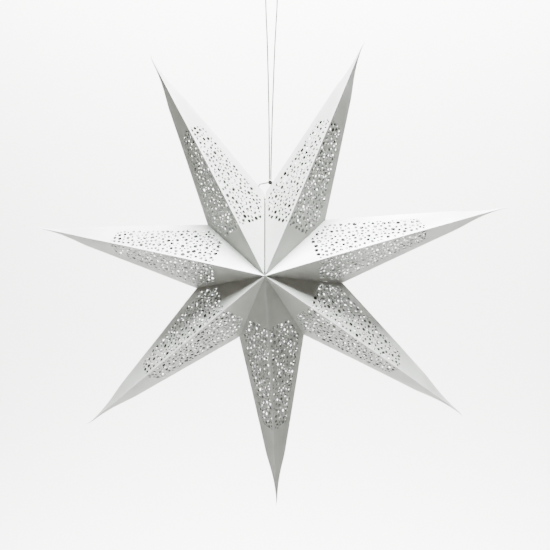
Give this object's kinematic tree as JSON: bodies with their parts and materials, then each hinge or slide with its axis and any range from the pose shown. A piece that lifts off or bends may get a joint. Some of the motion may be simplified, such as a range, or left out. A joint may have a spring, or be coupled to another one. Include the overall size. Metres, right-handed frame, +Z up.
{
  "type": "folding paper star",
  "caption": "Folding paper star of pierced hollow points, front and back alike, tied open at its top seam and hung on a loop of string.",
  "frame": {"origin": "top of the hanging loop, where a hook or nail holds it", "axes": "+Z up along the string, -Y out of the star's front, +X to the right as seen from the front"},
  "size_m": [0.5843, 0.1492, 0.6547],
  "materials": {
    "pierced_paper": "white pearly art paper, pierced with small holes",
    "card": "white card, matt",
    "string": "grey twisted string"
  },
  "bodies": {
    "hanging_cord": {"hanging_cord": "string"},
    "left_end": {"end_card_left": "card", "tie_cord": "string", "cord_knot": "string"},
    "right_end": {"end_card_right": "card"},
    "point_1": {"point_1": "pierced_paper"},
    "point_2": {"point_2": "pierced_paper"},
    "point_3": {"point_3": "pierced_paper"},
    "point_4": {"point_4": "pierced_paper"},
    "point_5": {"point_5": "pierced_paper"},
    "point_6": {"point_6": "pierced_paper"},
    "point_7": {"point_7": "pierced_paper"},
    "seam_1": {"glued_seam_1": "card"},
    "seam_2": {"glued_seam_2": "card"},
    "seam_3": {"glued_seam_3": "card"},
    "seam_4": {"glued_seam_4": "card"},
    "seam_5": {"glued_seam_5": "card"},
    "seam_6": {"glued_seam_6": "card"}
  },
  "joints": [
    {"name": "twist_on_string", "type": "hinge", "parent": "hanging_cord", "child": "left_end", "pos_m": [-0.00181, 0, -0.2461], "axis": [0, 0, 1], "continuous": true},
    {"name": "fan_fold", "type": "hinge", "parent": "left_end", "child": "right_end", "pos_m": [-0.0038, 0, -0.355], "axis": [0, 1, 0], "range_deg": [0, 345.8], "deforming": ["point_1", "point_2", "point_3", "point_4", "point_5", "point_6", "point_7", "tie_cord"]},
    {"name": "point_1_fold", "type": "hinge", "parent": "left_end", "child": "point_1", "pos_m": [-0.0038, 0, -0.355], "axis": [0, 1, 0], "range_deg": [0, 321.11]},
    {"name": "point_2_fold", "type": "hinge", "parent": "left_end", "child": "point_2", "pos_m": [-0.0038, 0, -0.355], "axis": [0, 1, 0], "range_deg": [0, 271.71]},
    {"name": "point_3_fold", "type": "hinge", "parent": "left_end", "child": "point_3", "pos_m": [-0.0038, 0, -0.355], "axis": [0, 1, 0], "range_deg": [0, 222.31]},
    {"name": "point_4_fold", "type": "hinge", "parent": "left_end", "child": "point_4", "pos_m": [-0.0038, 0, -0.355], "axis": [0, 1, 0], "range_deg": [0, 172.91]},
    {"name": "point_5_fold", "type": "hinge", "parent": "left_end", "child": "point_5", "pos_m": [-0.0038, 0, -0.355], "axis": [0, 1, 0], "range_deg": [0, 123.51]},
    {"name": "point_6_fold", "type": "hinge", "parent": "left_end", "child": "point_6", "pos_m": [-0.0038, 0, -0.355], "axis": [0, 1, 0], "range_deg": [0, 74.11]},
    {"name": "point_7_fold", "type": "hinge", "parent": "left_end", "child": "point_7", "pos_m": [-0.0038, 0, -0.355], "axis": [0, 1, 0], "range_deg": [0, 24.71]},
    {"name": "seam_1_fold", "type": "hinge", "parent": "left_end", "child": "seam_1", "pos_m": [-0.0038, 0, -0.355], "axis": [0, 1, 0], "range_deg": [0, 296.41]},
    {"name": "seam_2_fold", "type": "hinge", "parent": "left_end", "child": "seam_2", "pos_m": [-0.0038, 0, -0.355], "axis": [0, 1, 0], "range_deg": [0, 247.01]},
    {"name": "seam_3_fold", "type": "hinge", "parent": "left_end", "child": "seam_3", "pos_m": [-0.0038, 0, -0.355], "axis": [0, 1, 0], "range_deg": [0, 197.61]},
    {"name": "seam_4_fold", "type": "hinge", "parent": "left_end", "child": "seam_4", "pos_m": [-0.0038, 0, -0.355], "axis": [0, 1, 0], "range_deg": [0, 148.21]},
    {"name": "seam_5_fold", "type": "hinge", "parent": "left_end", "child": "seam_5", "pos_m": [-0.0038, 0, -0.355], "axis": [0, 1, 0], "range_deg": [0, 98.81]},
    {"name": "seam_6_fold", "type": "hinge", "parent": "left_end", "child": "seam_6", "pos_m": [-0.0038, 0, -0.355], "axis": [0, 1, 0], "range_deg": [0, 49.41]}
  ],
  "couplings": [
    {"joint": "point_1_fold", "follows": "fan_fold", "ratio": 0.92857},
    {"joint": "point_2_fold", "follows": "fan_fold", "ratio": 0.78571},
    {"joint": "point_3_fold", "follows": "fan_fold", "ratio": 0.64286},
    {"joint": "point_4_fold", "follows": "fan_fold", "ratio": 0.5},
    {"joint": "point_5_fold", "follows": "fan_fold", "ratio": 0.35714},
    {"joint": "point_6_fold", "follows": "fan_fold", "ratio": 0.21429},
    {"joint": "point_7_fold", "follows": "fan_fold", "ratio": 0.071429},
    {"joint": "seam_1_fold", "follows": "fan_fold", "ratio": 0.85714},
    {"joint": "seam_2_fold", "follows": "fan_fold", "ratio": 0.71429},
    {"joint": "seam_3_fold", "follows": "fan_fold", "ratio": 0.57143},
    {"joint": "seam_4_fold", "follows": "fan_fold", "ratio": 0.42857},
    {"joint": "seam_5_fold", "follows": "fan_fold", "ratio": 0.28571},
    {"joint": "seam_6_fold", "follows": "fan_fold", "ratio": 0.14286}
  ]
}
